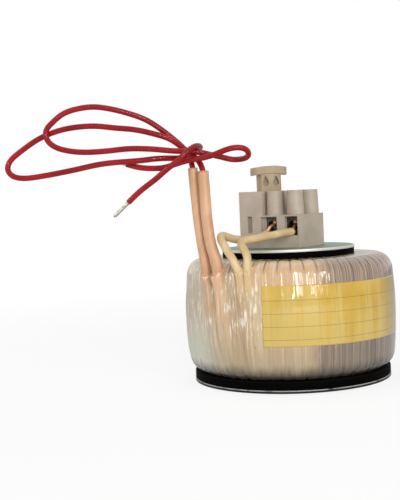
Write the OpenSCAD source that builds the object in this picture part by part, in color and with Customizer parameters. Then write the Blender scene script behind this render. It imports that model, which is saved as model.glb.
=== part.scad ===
// Toroidal mains transformer on a steel and rubber base, with a fused terminal block and two free leads.
// Origin: centre of the underside of the bottom disc. +Z up. The wire entries face -Y, the fuse is at -X.

/* [Core and windings] */
// Outside diameter of the strip-wound core
core_d = 64; // [56:0.5:72]
// Diameter of the core's hole
core_bore_d = 43; // [40:0.5:46]
// Height of the core
core_h = 28.2; // [22:0.2:34]
// Rounding of the core's edges
core_edge_r = 0.5; // [0.3:0.1:1]
// Thickness of the tape over the core
core_wrap_t = 0.8; // [0.4:0.1:1.2]
// Build of the primary winding outside, above and below the core
primary_t = 2.8; // [2:0.1:3.4]
// Build of the primary winding in the hole
primary_bore_t = 4.6; // [3.4:0.1:5]
// Thickness of the insulation between the windings
mid_wrap_t = 0.5; // [0.3:0.1:0.8]
// Build of the secondary winding outside, above and below
secondary_t = 2.1; // [1.5:0.1:2.6]
// Build of the secondary winding in the hole
secondary_bore_t = 3.1; // [2.4:0.1:3.4]
// Air left between one layer and the next
layer_gap = 0.1; // [0.05:0.01:0.2]
// Growth of the shoulder radius for each millimetre of build
shoulder_growth = 0.68; // [0.5:0.01:0.8]

/* [Outer film] */
// Thickness of the film where it is flat
film_t = 0.6; // [0.5:0.05:1]
// How far the side bulges at half height
barrel_bulge = 0.8; // [0.4:0.1:1]
// Strips of film round the ring
strips = 40; // [32:1:48]
// Step from one overlapping strip to the next
strip_step = 0.25; // [0.1:0.05:0.3]
// How far the film stands out over a lead that leaves it
lead_lump = 1.9; // [1.5:0.1:2.2]
// Half width of such a lump
lead_lump_w = 2.6; // [2:0.1:4]

/* [Label] */
// Height of the label
label_h = 21.4; // [15:0.1:26]
// Height of the label's middle above the base
label_z = 27.7; // [22:0.1:29]
// Angle that the label covers
label_angle = 90; // [60:1:120]
// Direction of the label's middle, seen from above
label_dir = -30; // [-60:0.5:0]
// Thickness of the label
label_t = 0.15; // [0.1:0.05:0.3]
// Air between the label and the film under it
label_clear = 0.05; // [0.03:0.01:0.1]

/* [Discs and rubber] */
// Diameter of the bottom steel disc
base_disc_d = 75.2; // [70:0.2:78]
// Thickness of the bottom steel disc
base_disc_t = 1.2; // [0.8:0.1:1.6]
// Height of the dish in the middle of the bottom disc, under it
dish_depth = 5; // [4.8:0.1:6]
// Diameter of the flat top of the dish
dish_d = 13; // [12:0.5:14]
// Slope width of the dish's side
dish_slope = 2.5; // [1.5:0.1:3]
// How far the bottom rubber washer stands back from the disc's edge
base_rubber_inset = 0.1; // [0:0.05:0.5]
// Thickness of the bottom rubber washer
base_rubber_t = 2.8; // [2:0.1:3.5]
// How far the top rubber washer stands back from the disc's edge
top_rubber_inset = 0.2; // [0:0.05:0.5]
// Thickness of the top rubber washer
top_rubber_t = 2.2; // [1.5:0.1:3]
// Hole in both rubber washers
rubber_hole_d = 21; // [20:0.5:22]
// Diameter of the top steel disc
top_disc_d = 50.8; // [46:0.2:54]
// Thickness of the top steel disc
top_disc_t = 1; // [0.8:0.1:1.5]

/* [Centre bolt] */
// Diameter of the bolt
bolt_d = 4; // [3.5:0.1:4.2]
// Diameter of the bolt's head
bolt_head_d = 7; // [6.4:0.1:7.2]
// Height of the bolt's head
bolt_head_h = 4; // [3:0.1:5]
// Width of the hexagon socket across its flats
bolt_socket_af = 3; // [2.5:0.1:3.2]
// Depth of the hexagon socket
bolt_socket_h = 2; // [1.5:0.1:2.5]
// Width of the nut across its flats
nut_af = 7; // [6.8:0.1:7.4]
// Height of the nut
nut_h = 3.2; // [2.2:0.1:3.2]
// Diameter of the washer on the nut
washer_d = 9; // [8:0.1:10]
// Thickness of the washer on the nut
washer_t = 0.8; // [0.5:0.1:1]
// Length of bolt past the nut
bolt_tip = 0.5; // [0.3:0.1:0.6]
// Radial play of the bolt in the discs, washer and block
bolt_play = 0.2; // [0.1:0.05:0.4]
// Radial play between the bolt and the nut's thread
thread_play = 0.03; // [0.02:0.01:0.05]

/* [Terminal block] */
// Left end of the block
block_x0 = -15.1; // [-16:0.1:-14.8]
// Width of the fuse chamber
chamber_w = 10.1; // [10:0.1:11]
// Middle of the live pole
live_x = -1.6; // [-1.8:0.1:-1.4]
// Middle of the neutral pole
neutral_x = 7.2; // [7:0.1:8]
// Wall outside the neutral pole's clamp pocket
end_wall = 0.7; // [0.6:0.1:1.5]
// Depth of the block, front to back
block_d = 19.7; // [19:0.1:21]
// Height of the ledge that the towers stand on
ledge_h = 12.3; // [12:0.1:14]
// Height of the towers and the fuse chamber
block_h = 21.5; // [19:0.1:23]
// Radius of a screw tower at its foot
tower_r = 3.3; // [3.1:0.05:3.35]
// How much a tower narrows towards its top, in radius
tower_draft = 0.35; // [0:0.05:0.5]
// Distance of the towers from the block's middle plane
tower_y = 5.9; // [5.8:0.1:6.1]
// Radius of the screwdriver shaft in a tower
shaft_r = 2; // [1.9:0.05:2.1]
// Height of the seat of the centre bolt's head
well_floor = 4; // [3:0.5:4.5]
// Radial play round the bolt's head in its well
well_play = 0.2; // [0.1:0.05:0.25]
// Left edge of the live wire mouth
live_mouth_x0 = -5.8; // [-6:0.1:-5]
// Width of the live wire mouth
live_mouth_w = 6.4; // [6:0.1:6.8]
// Depth of the wire mouths
mouth_depth = 1.75; // [1.5:0.05:1.8]
// Left edge of the moulding slot in the fuse chamber
mark_slot_x0 = -11.7; // [-13:0.1:-11]
// Width of that slot
mark_slot_w = 2; // [1:0.1:2.5]
// Height of that slot
mark_slot_h = 6.4; // [4:0.1:7]
// Depth of that slot
mark_slot_depth = 1.5; // [1:0.1:2]

/* [Clamps] */
// Width of a clamp
clamp_w = 5.2; // [4.8:0.1:5.4]
// Height of a clamp
clamp_h = 7; // [6.6:0.1:7.2]
// Height of the clamps' floor above the block's base
clamp_floor = 4.6; // [4.4:0.1:5]
// Length of a live clamp
clamp_l = 3.8; // [3.6:0.1:4]
// Radius of the wire hole in a clamp
wire_hole_r = 2; // [1.7:0.05:2.1]
// Height of the wire hole's middle above the clamp's floor
wire_hole_z = 3.7; // [3.4:0.1:3.9]
// Air round a clamp in its pocket
clamp_clear = 0.1; // [0.05:0.01:0.15]
// Radius of a clamp screw
screw_r = 1.25; // [1.25:0.05:1.5]
// Length of a clamp screw's shank
screw_l = 6; // [5:0.1:7]
// Radius of a clamp screw's head
screw_head_r = 1.8; // [1.6:0.05:1.85]
// Height of a clamp screw's head
screw_head_h = 1.8; // [1.2:0.1:2]
// Width of the screwdriver slot
screw_slot_w = 0.6; // [0.4:0.05:0.8]
// Radial play of a screw in its thread
screw_play = 0.04; // [0.02:0.01:0.06]
// Lift of a screw's tip above the wire hole where no wire is clamped
screw_open = 0.25; // [0.1:0.05:0.6]

/* [Fuse and carrier] */
// Radius of the bore of the fuse chamber
chamber_r = 4.2; // [4.1:0.05:4.25]
// Distance of the fuse from the block's middle plane
fuse_y = 4.65; // [4.4:0.05:4.7]
// Radial play of the carrier in the chamber
carrier_play = 0.08; // [0.05:0.01:0.1]
// Thickness of the chamber's floor
chamber_floor = 1.2; // [1:0.1:1.6]
// Length of the fuse
fuse_l = 20; // [19.5:0.1:20.5]
// Radius of the fuse's end caps
fuse_cap_r = 2.6; // [2.5:0.05:2.65]
// Length of an end cap
fuse_cap_l = 5.2; // [4.5:0.1:6]
// Wall of an end cap
fuse_cap_wall = 0.25; // [0.2:0.05:0.3]
// Wall of the glass tube
glass_wall = 0.4; // [0.3:0.05:0.6]
// Air between the glass and a cap, and between the fuse and what holds it
fuse_clear = 0.05; // [0.03:0.01:0.08]
// Radius of the melting wire
fuse_wire_r = 0.15; // [0.1:0.01:0.25]
// Length of fuse that stands out below the carrier
fuse_bare = 3; // [2.5:0.1:4]
// Width of the contact slot in the carrier's barrel
barrel_slot_w = 3.4; // [3.2:0.1:3.8]
// Width of the handle's neck
neck_w = 8.5; // [8:0.1:9]
// Thickness of the handle's neck
neck_d = 7; // [6.6:0.1:7.4]
// Height of the handle's neck
neck_h = 6.9; // [6:0.1:8]
// Turn of the handle from the block's front
neck_turn = 45; // [0:5:90]
// Rounding of the neck's edges
neck_edge_r = 0.8; // [0.5:0.1:1]
// Width of the handle's bar
bar_w = 13.6; // [12:0.1:15]
// Depth of the handle's bar
bar_d = 7.8; // [7.4:0.1:8.5]
// Thickness of the handle's bar
bar_t = 2.9; // [2.4:0.1:3.4]
// Radius of the bar's arch
bar_arch_r = 34; // [30:1:60]
// Rounding of the bar's corners
bar_edge_r = 2; // [1:0.1:3]
// Radius of a finger dent
dent_r = 1.1; // [0.8:0.05:1.2]
// Height of a finger dent
dent_h = 3.3; // [2.8:0.1:3.6]
// Depth of a finger dent
dent_depth = 0.9; // [0.4:0.1:1.2]
// Distance of a finger dent from the neck's middle
dent_x = 2.05; // [1.6:0.05:2.4]
// Thickness of the contact strips
strip_t = 0.6; // [0.5:0.05:0.7]
// Width of the contact strips
contact_w = 3; // [2.6:0.1:3.1]

/* [Leads] */
// Diameter of the red leads
lead_d = 2.1; // [1.8:0.1:2.1]
// Diameter of the tinned ends
tin_d = 1.4; // [1:0.1:1.5]
// Diameter of the narrow secondary sleeve
sleeve_left_d = 3.5; // [3.2:0.1:3.6]
// Diameter of the wide secondary sleeve
sleeve_right_d = 4.1; // [3.8:0.1:4.2]
// Radial play of a lead in its sleeve
sleeve_play = 0.2; // [0.15:0.05:0.25]
// Diameter of the primary sleeves
primary_sleeve_d = 2.9; // [2.6:0.1:3]
// Diameter of the primary conductors
conductor_d = 1.2; // [1:0.1:1.6]
// Radial play of a conductor in its sleeve
conductor_play = 0.1; // [0.05:0.05:0.15]
// Sides of a lead's tube
tube_sides = 8; // [6:1:8]

/* [Hidden] */
$fn = 64;
eps = 0.01;

// Colours
steel = [0.62, 0.66, 0.64];
rubber = [0.07, 0.065, 0.065];
moulding = [0.72, 0.67, 0.58];
brass = [0.78, 0.62, 0.3];
plated_brass = [0.45, 0.44, 0.42];
black_coated_steel = [0.1, 0.1, 0.1];
copper = [0.8, 0.45, 0.26];
film = [0.86, 0.79, 0.68];
red = [0.68, 0.03, 0.07];
cream = [0.87, 0.76, 0.56];
salmon = [0.88, 0.68, 0.52];

// Layers from the core outwards: their build outside and in the hole
out_build = [core_wrap_t, primary_t, mid_wrap_t, secondary_t, film_t];
bore_build = [core_wrap_t, primary_bore_t, mid_wrap_t, secondary_bore_t, film_t];
// Build of the first n layers with their gaps
function built(v, n) = n == 0 ? 0 : built(v, n - 1) + layer_gap + v[n - 1];
// Outer face of layer n: radius of the hole, outer radius, half height, edge radius
function face(n) = [core_bore_d / 2 - built(bore_build, n), core_d / 2 + built(out_build, n),
                    core_h / 2 + built(out_build, n), core_edge_r + shoulder_growth * built(out_build, n)];
// The same face moved out by one gap, which is the inner face of the layer that lies on it
function inner_face(n) = face(n) + layer_gap * [-1, 1, 1, 1];
skin = face(5);

// Heights of the stack
ring_z0 = base_disc_t + base_rubber_t;
ring_z = ring_z0 + skin[2];
ring_z1 = ring_z0 + 2 * skin[2];
top_z = ring_z1 + top_rubber_t + top_disc_t;

// Side of the film: an arc that bulges by barrel_bulge over the straight part of the side
side_h = skin[2] - skin[3];
side_arc_r = side_h * side_h / (2 * barrel_bulge) + barrel_bulge / 2;
side_arc_x = skin[1] + barrel_bulge - side_arc_r;

// Block
block_x1 = neutral_x + clamp_w / 2 + clamp_clear + end_wall;
block_y0 = -block_d / 2;
clamp_z = top_z + clamp_floor;
wire_z = clamp_z + wire_hole_z;
clamp_end = block_d / 2 - mouth_depth;
fuse_x = block_x0 + chamber_w / 2;
chamber_z = top_z + chamber_floor;
fuse_z = chamber_z + strip_t + fuse_clear;
handle_z = top_z + block_h;
tongue_z = fuse_z + fuse_l - fuse_cap_l + 1.5;
clamp_web = 2;
clip_slot_w = 1.5;
channel_play = 0.1;
carrier_seat = 0.05;
tube_bed = 0.03;

// Points along the leads, in millimetres, each from its sleeve or from the ring outwards
SLEEVE_LEFT = [[-12, -39, 41.5], [-12, -39.5, 46], [-13.5, -39, 52.5], [-15, -38.5, 61.5],
               [-17, -37, 73], [-17.5, -37, 81]];
SLEEVE_RIGHT = [[-6.5, -40, 41.5], [-6.5, -40.5, 47], [-8.5, -40.5, 52.5], [-10.5, -39.5, 61.5],
                [-12, -38, 71.5], [-13, -37, 79.5]];
PRIMARY_LEFT = [[3, -40.5, 43], [2.5, -41.5, 45], [1, -41.5, 48], [-1.5, -41, 51], [-4, -39.5, 53.5],
                [-6.5, -37.5, 55.5], [-7, -35.5, 56.5], [-6.5, -33, 55.5], [-5.5, -29.5, 54.5],
                [-4.5, -25.5, 54], [-3, -20.5, 54], [-2.5, -16, 54.5], [-2, -12, 55.5]];
PRIMARY_RIGHT = [[6, -40, 43], [6, -40, 46], [5.5, -39, 49], [3.5, -38, 51.5], [1, -36, 53],
                 [0.5, -33, 54], [2.5, -29, 54.5], [4, -23.5, 55], [6, -18, 55.5], [7, -12.5, 56],
                 [7.5, -9.5, 56]];
RED_A = [[-12.5, -37.5, 75.5], [-13, -37, 79.5], [-14, -36.5, 82], [-16.5, -36, 84.5], [-19.5, -36.5, 87],
         [-22.5, -37.5, 89.5], [-25.5, -39, 92], [-30, -42, 94], [-36.5, -45.5, 96], [-43, -49, 97],
         [-49, -52.5, 98], [-55, -56, 98], [-61, -59.5, 97], [-67.5, -63, 94.5], [-73, -66.5, 90.5],
         [-77, -69.5, 86.5], [-77.5, -70.5, 83.5], [-75.5, -70, 81], [-71.5, -68.5, 80],
         [-65.5, -65, 80.5], [-56, -60, 82], [-45, -54, 84], [-34, -47.5, 84.5], [-28, -43.5, 85],
         [-25.5, -40, 85], [-24, -35.5, 85], [-22.5, -31.5, 86], [-20, -30, 87.5], [-17, -32, 88.5],
         [-15.5, -35.5, 89], [-15, -39.5, 88.5], [-15.5, -42.5, 87], [-17.5, -44.5, 84.5],
         [-20, -45.5, 82.5], [-23.5, -46.5, 80], [-26.5, -47.5, 77.5], [-30, -49, 75], [-33, -50.5, 72.5],
         [-36, -52, 69.5]];
RED_B = [[-17.25, -37, 77], [-17.5, -37, 81], [-19, -35.5, 83.5], [-21, -34, 86], [-23, -34, 88.5],
         [-26, -36, 92], [-29, -39, 95.5], [-33.5, -42.5, 99.5], [-38.5, -46, 102], [-44, -50, 104],
         [-49, -53.5, 105], [-53.5, -57, 104.5], [-58, -60, 103], [-61, -62.5, 100], [-63.5, -64, 97],
         [-63, -64, 93.5], [-60.5, -63, 91], [-57, -61, 89.5], [-51.5, -58, 88.5], [-44, -54, 88.5],
         [-36.5, -49.5, 89], [-29.5, -45.5, 88.5], [-23, -41.5, 87.5], [-18, -39, 87], [-14.5, -36, 86.5],
         [-12, -32.5, 85.5], [-9.5, -29, 84.5], [-7, -26.5, 83.5], [-4, -25.5, 83.5], [-0.5, -26.5, 84],
         [1.5, -28.5, 85.5], [1.5, -31, 87], [-0.5, -33.5, 87.5], [-3.5, -35, 87], [-7.5, -36.5, 85.5],
         [-11, -38, 84.5], [-14.5, -40, 84], [-18, -41, 83.5], [-21.5, -42.5, 82.5], [-25.5, -43.5, 81.5],
         [-30, -44.5, 81.5], [-34.5, -46, 82], [-39.5, -47.5, 83.5]];
TIN_A = [[-36, -52, 69.5], [-41, -54.5, 64.5]];
TIN_B = [[-39.5, -47.5, 83.5], [-44.5, -49, 85]];
CONDUCTOR_LEFT = [[-2.25, -14, 55], [-2, -12, 55.5], [-2, -11, 57], [-1.5, -9.5, 58.5], [-1.5, -5, 58.5]];
CONDUCTOR_RIGHT = [[7.25, -11, 56], [7.5, -9.5, 56], [7.5, -8.5, 57], [7, -7, 58.5], [7, -5, 58.5]];

// Directions in which leads leave the film
exits = [for (p = [SLEEVE_LEFT[0], SLEEVE_RIGHT[0], PRIMARY_LEFT[0], PRIMARY_RIGHT[0]]) atan2(p[1], p[0])];
exit_z = SLEEVE_LEFT[0][2];

// ---- Swept tubes ----

function unit(v) = v / norm(v);
function tangent(p, i) = unit(p[min(i + 1, len(p) - 1)] - p[max(i - 1, 0)]);
function square_to(t, v) = unit(v - (v * t) * t);
// One side vector for each point, carried along the route so that the tube doesn't twist
function side_vectors(p, v) =
    [for (i = 0, n = square_to(tangent(p, 0), v); i < len(p);
          i = i + 1, n = i < len(p) ? square_to(tangent(p, i), n) : n) n];

module swept_tube(p, r, sides = tube_sides) {
    v = side_vectors(p, [0.6, -0.4, 0.3]);
    last = len(p) - 1;
    points = [for (i = [0:last]) for (k = [0:sides - 1])
        let(n = v[i], b = cross(tangent(p, i), n), a = 360 * k / sides)
        p[i] + r * (cos(a) * n + sin(a) * b)];
    walls = [for (i = [0:last - 1]) for (k = [0:sides - 1])
        let(a = i * sides + k, b = i * sides + (k + 1) % sides)
        for (f = [[a, a + sides, b], [b, a + sides, b + sides]]) f];
    caps = [[for (k = [0:sides - 1]) k], [for (k = [sides - 1:-1:0]) last * sides + k]];
    polyhedron(points = points, faces = concat(caps, walls), convexity = 10);
}

// A sleeve whose bore runs along its last stretch and takes what comes out of it
module sleeve(p, outer_r, bore_r) {
    last = len(p) - 1;
    mouth = p[last] + unit(p[last] - p[last - 1]);
    difference() {
        swept_tube(p, outer_r);
        swept_tube([(p[last - 1] + p[last]) / 2, p[last], mouth], bore_r);
    }
}

// ---- Toroid ----

// Rounded section of a layer, to the right of the axis
module section(f) {
    c = min(f[3], f[2] - eps, (f[1] - f[0]) / 2 - eps);
    translate([f[0] + c, -f[2]]) square([f[1] - f[0] - 2 * c, 2 * f[2]]);
    translate([f[0], c - f[2]]) square([f[1] - f[0], 2 * (f[2] - c)]);
    for (x = [f[0] + c, f[1] - c]) for (z = [c - f[2], f[2] - c])
        translate([x, z]) circle(c);
}

module layer(n) {
    translate([0, 0, ring_z]) rotate_extrude($fn = 96) difference() {
        section(face(n));
        section(inner_face(n - 1));
    }
}

module core() {
    color([0.45, 0.46, 0.47]) translate([0, 0, ring_z]) rotate_extrude($fn = 96) section(face(0));
}

module core_insulation() {
    color([0.9, 0.85, 0.6]) layer(1);
}

module primary_winding() {
    color(copper) layer(2);
}

module inter_winding_insulation() {
    color([0.92, 0.88, 0.7]) layer(3);
}

module secondary_winding() {
    color([0.72, 0.4, 0.28]) layer(4);
}

// The film is one strip wound through the hole, so each turn ends one strip further round
strip_columns = 3;
columns = strips * strip_columns;
side_rows = 7;
// Radius, height and outward direction of the film's rows, from the foot of its side round the section
film_rows = let(f = skin, c = f[3], xo = f[1] - c, xi = f[0] + c, h = f[2] - c) concat(
    [for (k = [0:side_rows - 1]) let(z = h * (2 * k / (side_rows - 1) - 1))
        [side_arc_x + sqrt(side_arc_r * side_arc_r - z * z), z, 1, 0]],
    [for (a = [22.5:22.5:67.5]) [xo + c * cos(a), h + c * sin(a), cos(a), sin(a)]],
    [[xo, f[2], 0, 1], [(xo + xi) / 2, f[2], 0, 1], [xi, f[2], 0, 1]],
    [[xi - c * sin(45), h + c * sin(45), -sin(45), sin(45)], [f[0], h, -1, 0], [f[0], -h, -1, 0],
     [xi - c * sin(45), -h - c * sin(45), -sin(45), -sin(45)]],
    [[xi, -f[2], 0, -1], [(xo + xi) / 2, -f[2], 0, -1], [xo, -f[2], 0, -1]],
    [for (a = [-67.5:22.5:-22.5]) [xo + c * cos(a), -h + c * sin(a), cos(a), sin(a)]]);
rows = len(film_rows);

// Angle between two directions, from -180 to 180
function turn(a, b) = ((a - b + 540) % 360) - 180;
// Height of the lump over the leads: full at their exits, gone at the shoulder's top and the base
function lump_height(z) = max(0, min(1, (z + skin[2]) / skin[2], (skin[2] - z) / skin[3] * 1.5));
function lump(a, z) = lead_lump * lump_height(z)
    * max([for (e = exits) exp(-pow(turn(a, e) * PI / 180 * skin[1] / lead_lump_w, 4))]);

module outer_film() {
    points = [for (i = [0:columns - 1]) for (j = [0:rows - 1])
        let(w = film_rows[j], a = 360 * (i + strip_columns * j / rows) / columns,
            step = strip_step * ((i % strip_columns) / (strip_columns - 1) - 1),
            d = step + (j < side_rows + 2 ? lump(a, w[1]) : 0))
        [(w[0] + w[2] * d) * cos(a), (w[0] + w[2] * d) * sin(a), ring_z + w[1] + w[3] * d]];
    faces = [for (i = [0:columns - 1]) for (j = [0:rows - 1])
        let(turned = j == rows - 1 ? strip_columns : 0, up = (j + 1) % rows,
            a = i * rows + j, b = ((i + 1) % columns) * rows + j,
            c = ((i + 1 + turned) % columns) * rows + up, d = ((i + turned) % columns) * rows + up)
        for (f = [[a, d, b], [b, d, c]]) f];
    color(film) difference() {
        polyhedron(points = points, faces = faces, convexity = 6);
        translate([0, 0, ring_z]) rotate_extrude($fn = 96) section(inner_face(4));
        swept_tube(SLEEVE_LEFT, sleeve_left_d / 2 + tube_bed);
        swept_tube(SLEEVE_RIGHT, sleeve_right_d / 2 + tube_bed);
        swept_tube(PRIMARY_LEFT, primary_sleeve_d / 2 + tube_bed);
        swept_tube(PRIMARY_RIGHT, primary_sleeve_d / 2 + tube_bed);
    }
}

module label() {
    color([0.87, 0.74, 0.39])
        translate([0, 0, ring_z]) rotate([0, 0, label_dir - label_angle / 2])
            rotate_extrude(angle = label_angle, $fn = 96) intersection() {
                translate([side_arc_x, 0]) difference() {
                    circle(side_arc_r + label_clear + label_t, $fn = 360);
                    circle(side_arc_r + label_clear, $fn = 360);
                }
                translate([skin[1] / 2, label_z - ring_z - label_h / 2]) square([skin[1], label_h]);
            }
}

// ---- Discs, rubber and bolt ----

module washer(z, t, outer_d, hole_d) {
    translate([0, 0, z]) difference() {
        cylinder(h = t, d = outer_d, $fn = 96);
        translate([0, 0, -eps]) cylinder(h = t + 2 * eps, d = hole_d);
    }
}

module bottom_rubber_washer() {
    color(rubber) washer(base_disc_t, base_rubber_t, base_disc_d - 2 * base_rubber_inset, rubber_hole_d);
}

module top_rubber_washer() {
    color(rubber) washer(ring_z1, top_rubber_t, top_disc_d - 2 * top_rubber_inset, rubber_hole_d);
}

module top_steel_disc() {
    color(steel) washer(ring_z1 + top_rubber_t, top_disc_t, top_disc_d, bolt_d + 2 * bolt_play);
}

// Flat rim, sloping side and raised middle, pressed from one sheet
module bottom_steel_disc() {
    rim = base_disc_d / 2;
    hole = bolt_d / 2 + bolt_play;
    foot = dish_d / 2 + dish_slope;
    color(black_coated_steel) rotate_extrude($fn = 96) polygon([
        [foot, 0], [rim, 0], [rim, base_disc_t], [foot + base_disc_t / 2, base_disc_t],
        [dish_d / 2 + base_disc_t / 2, dish_depth + base_disc_t], [hole, dish_depth + base_disc_t],
        [hole, dish_depth], [dish_d / 2, dish_depth]]);
}

module nut_washer() {
    color(steel) washer(dish_depth - washer_t, washer_t, washer_d, bolt_d + 2 * bolt_play);
}

module centre_nut() {
    color(steel) translate([0, 0, dish_depth - washer_t - nut_h]) difference() {
        cylinder(h = nut_h, d = nut_af / cos(30), $fn = 6);
        translate([0, 0, -eps]) cylinder(h = nut_h + 2 * eps, r = bolt_d / 2 + thread_play);
    }
}

module centre_bolt() {
    tip_z = dish_depth - washer_t - nut_h - bolt_tip;
    seat_z = top_z + well_floor;
    color(steel) difference() {
        union() {
            translate([0, 0, tip_z]) cylinder(h = seat_z - tip_z, d = bolt_d);
            translate([0, 0, seat_z]) cylinder(h = bolt_head_h, d = bolt_head_d);
        }
        translate([0, 0, seat_z + bolt_head_h - bolt_socket_h])
            cylinder(h = bolt_socket_h + eps, d = bolt_socket_af / cos(30), $fn = 6);
    }
}

// ---- Terminal block ----

module terminal_housing() {
    color(moulding) difference() {
        union() {
            translate([block_x0, block_y0, top_z]) cube([block_x1 - block_x0, block_d, ledge_h]);
            translate([block_x0, block_y0, top_z]) cube([chamber_w, block_d, block_h]);
            for (x = [live_x, neutral_x]) for (y = [-tower_y, tower_y])
                translate([x, y, top_z + ledge_h - eps])
                    cylinder(h = block_h - ledge_h + eps, r1 = tower_r, r2 = tower_r - tower_draft);
        }
        centre_well();
        clamp_pockets();
        fuse_chamber();
        contact_channels();
        translate([mark_slot_x0, block_y0 - eps, clamp_z + 1])
            cube([mark_slot_w, mark_slot_depth + eps, mark_slot_h]);
    }
}

module centre_well() {
    translate([0, 0, top_z + well_floor]) cylinder(h = block_h, r = bolt_head_d / 2 + well_play);
    translate([0, 0, top_z - eps]) cylinder(h = well_floor + 2 * eps, r = bolt_d / 2 + bolt_play);
}

module clamp_pockets() {
    w = clamp_w + 2 * clamp_clear;
    h = clamp_h + clamp_clear;
    // The neutral pocket runs from front to back
    translate([neutral_x - w / 2, block_y0 - eps, clamp_z]) cube([w, block_d + 2 * eps, h]);
    // Each live clamp has its own pocket, front and back
    for (s = [0, 1]) mirror([0, s, 0]) {
        translate([live_x - w / 2, block_y0 - eps, clamp_z])
            cube([w, mouth_depth + clamp_l + clamp_clear + eps, h]);
        translate([live_mouth_x0, block_y0 - eps, clamp_z]) cube([live_mouth_w, mouth_depth + eps, h]);
    }
    for (x = [live_x, neutral_x]) for (y = [-tower_y, tower_y])
        translate([x, y, clamp_z + clamp_h]) cylinder(h = block_h, r = shaft_r);
}

module fuse_chamber() {
    translate([fuse_x, fuse_y, chamber_z]) cylinder(h = block_h, r = chamber_r);
}

// Channels that the two contact strips lie in
module contact_channels() {
    g = channel_play;
    lower_contact_strips(g);
    upper_contact_strips(g);
}

// A terminal clamp with its front face at y0: a wire hole of depth d from the front and a screw hole
module wire_hole(x, y0, d) {
    translate([x, y0, wire_z]) rotate([-90, 0, 0]) cylinder(h = d, r = wire_hole_r);
}

module screw_hole(x, y) {
    translate([x, y, wire_z]) cylinder(h = clamp_h, r = screw_r + screw_play);
}

module live_clamp() {
    difference() {
        translate([live_x - clamp_w / 2, -clamp_end, clamp_z]) cube([clamp_w, clamp_l, clamp_h]);
        wire_hole(live_x, -clamp_end - eps, clamp_l + 2 * eps);
        screw_hole(live_x, -tower_y);
    }
}

module live_supply_clamp() {
    color(plated_brass) live_clamp();
}

module live_fuse_clamp() {
    color(plated_brass) mirror([0, 1, 0]) live_clamp();
}

module neutral_clamp() {
    depth = clamp_end - clamp_web / 2;
    color(plated_brass) difference() {
        translate([neutral_x - clamp_w / 2, -clamp_end, clamp_z]) cube([clamp_w, 2 * clamp_end, clamp_h]);
        for (s = [0, 1]) mirror([0, s, 0]) {
            wire_hole(neutral_x, -clamp_end - eps, depth + eps);
            screw_hole(neutral_x, -tower_y);
        }
    }
}

module clamp_screw(x, y, z) {
    translate([x, y, z]) difference() {
        union() {
            cylinder(h = screw_l + eps, r = screw_r);
            translate([0, 0, screw_l]) cylinder(h = screw_head_h, r = screw_head_r);
        }
        translate([-screw_head_r, -screw_slot_w / 2, screw_l + screw_head_h / 2])
            cube([2 * screw_head_r, screw_slot_w, screw_head_h]);
    }
}

// The front screws press on the two primary wires, the rear ones wait open
module clamp_screws() {
    color(steel) for (x = [live_x, neutral_x]) {
        clamp_screw(x, -tower_y, wire_z + conductor_d / 2 + screw_open);
        clamp_screw(x, tower_y, wire_z + wire_hole_r + screw_open);
    }
}

// Foot on the chamber's floor and leg up the clamp's side; g widens it into its channel
module lower_contact_strips(g = 0) {
    y = clamp_end - clamp_l / 2 - contact_w / 2;
    x = live_x - clamp_w / 2;
    translate([fuse_x, y - g, chamber_z - g]) cube([x - fuse_x, contact_w + 2 * g, strip_t + 2 * g]);
    translate([x - strip_t - g, y - g, chamber_z - g])
        cube([strip_t + g, contact_w + 2 * g, wire_z - chamber_z + 2 * g]);
}

module lower_fuse_contact() {
    clip_h = fuse_bare - 2 * fuse_clear;
    color(brass) union() {
        lower_contact_strips();
        translate([fuse_x, fuse_y, chamber_z]) cylinder(h = strip_t, r = fuse_cap_r + fuse_clear + strip_t);
        difference() {
            translate([fuse_x, fuse_y, chamber_z])
                cylinder(h = strip_t + clip_h, r = fuse_cap_r + fuse_clear + strip_t);
            translate([fuse_x, fuse_y, chamber_z + strip_t])
                cylinder(h = clip_h + 1, r = fuse_cap_r + fuse_clear);
            translate([fuse_x - clip_slot_w / 2, fuse_y - chamber_r, chamber_z + strip_t])
                cube([clip_slot_w, chamber_r, clip_h + 1]);
        }
    }
}

// From the clamp's side to the chamber, up its wall and through the carrier's slot to the upper cap
module upper_contact_strips(g = 0) {
    x = live_x - clamp_w / 2;
    y = -clamp_end + clamp_l / 2;
    tongue_y = fuse_y - fuse_cap_r - fuse_clear;
    riser_y = fuse_y - chamber_r - strip_t - 0.2;
    w = contact_w + 2 * g;
    t = strip_t + 2 * g;
    arm_y = y + contact_w / 2 - strip_t;
    translate([x - strip_t - g, y - contact_w / 2 - g, wire_z - g]) cube([strip_t + g, w, w]);
    translate([fuse_x - contact_w / 2 - g, arm_y - g, wire_z - g])
        cube([x - fuse_x + contact_w / 2 + g, t, w]);
    translate([fuse_x - contact_w / 2 - g, arm_y - g, wire_z + contact_w - strip_t - g])
        cube([w, riser_y - arm_y + t, t]);
    translate([fuse_x - contact_w / 2 - g, riser_y - g, wire_z + contact_w - strip_t - g])
        cube([w, g > 0 ? chamber_r : strip_t, tongue_z - wire_z - contact_w + strip_t + 2 * g]);
    if (g == 0)
        translate([fuse_x - contact_w / 2, riser_y, tongue_z - strip_t])
            cube([contact_w, tongue_y - riser_y, strip_t]);
}

module upper_fuse_contact() {
    color(brass) union() upper_contact_strips();
}

// ---- Fuse carrier ----

module rounded_plan(w, d, r) {
    square([w - 2 * r, d], center = true);
    square([w, d - 2 * r], center = true);
    for (x = [r - w / 2, w / 2 - r]) for (y = [r - d / 2, d / 2 - r])
        translate([x, y]) circle(r, $fn = 32);
}

module dent() {
    rotate([90, 0, 0]) translate([0, 0, -dent_depth]) linear_extrude(2 * dent_depth) {
        circle(dent_r, $fn = 32);
        polygon([[-dent_r, 0], [dent_r, 0], [0.3, dent_h - dent_r], [-0.3, dent_h - dent_r]]);
    }
}

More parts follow.
